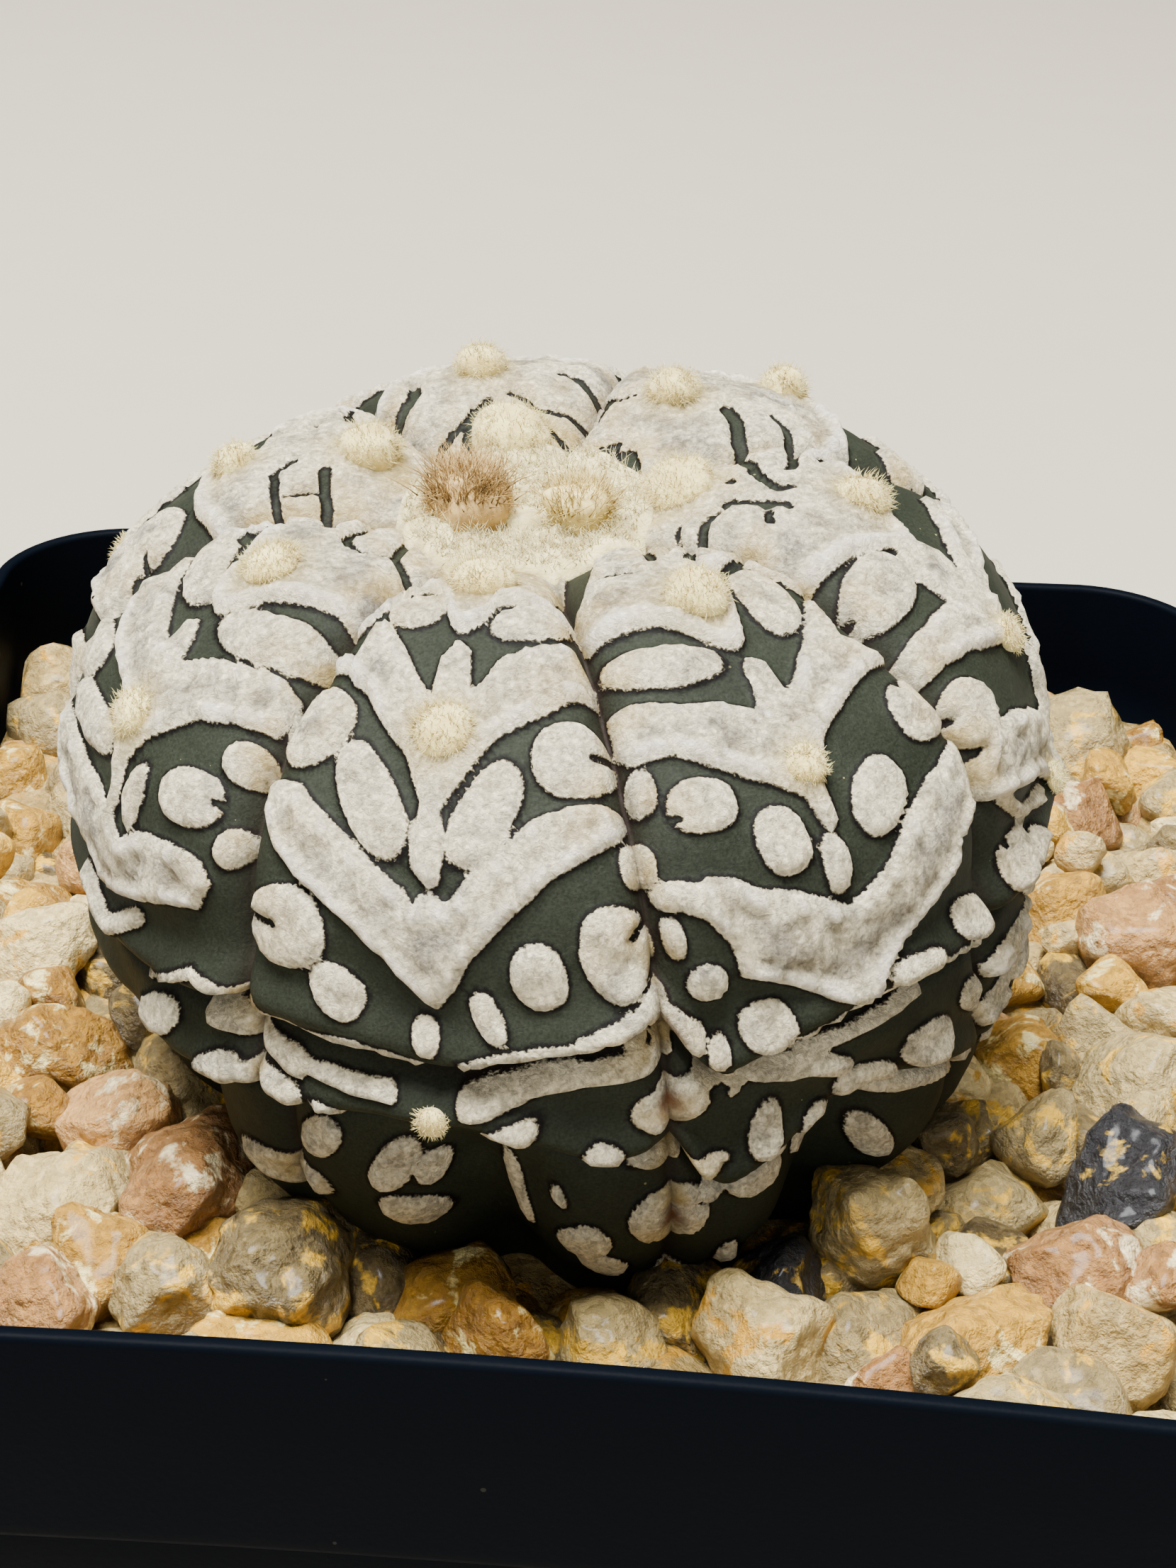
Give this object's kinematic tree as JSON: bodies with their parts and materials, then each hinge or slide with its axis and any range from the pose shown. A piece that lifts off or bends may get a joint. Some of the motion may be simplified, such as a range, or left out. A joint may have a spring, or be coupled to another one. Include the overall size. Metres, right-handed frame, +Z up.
{
  "type": "potted super kabuto star cactus",
  "caption": "Domed star cactus with white-flecked ribs and a woolly crown, set in gravel in a square black nursery pot.",
  "frame": {"origin": "centre of the pot's flat underside", "axes": "+Z up along the pot's height, -Y towards the front of the pot, +X to the right"},
  "size_m": [0.102, 0.102, 0.1229],
  "materials": {
    "pot_plastic": "moulded black plastic, slight sheen",
    "potting_mix": "loose dark mineral soil",
    "gravel_stone": "rounded quartz and ochre stones, slightly waxy",
    "cactus_skin": "dark green skin with raised white wool flecks",
    "crown_wool": "cream felted wool",
    "dried_flower": "dry brown papery fibre"
  },
  "bodies": {
    "root": {"pot": "pot_plastic", "potting_mix": "potting_mix", "gravel": "gravel_stone", "cactus": "cactus_skin", "crown_wool": "crown_wool", "dried_flower_left": "dried_flower", "dried_flower_right": "dried_flower"}
  },
  "joints": []
}
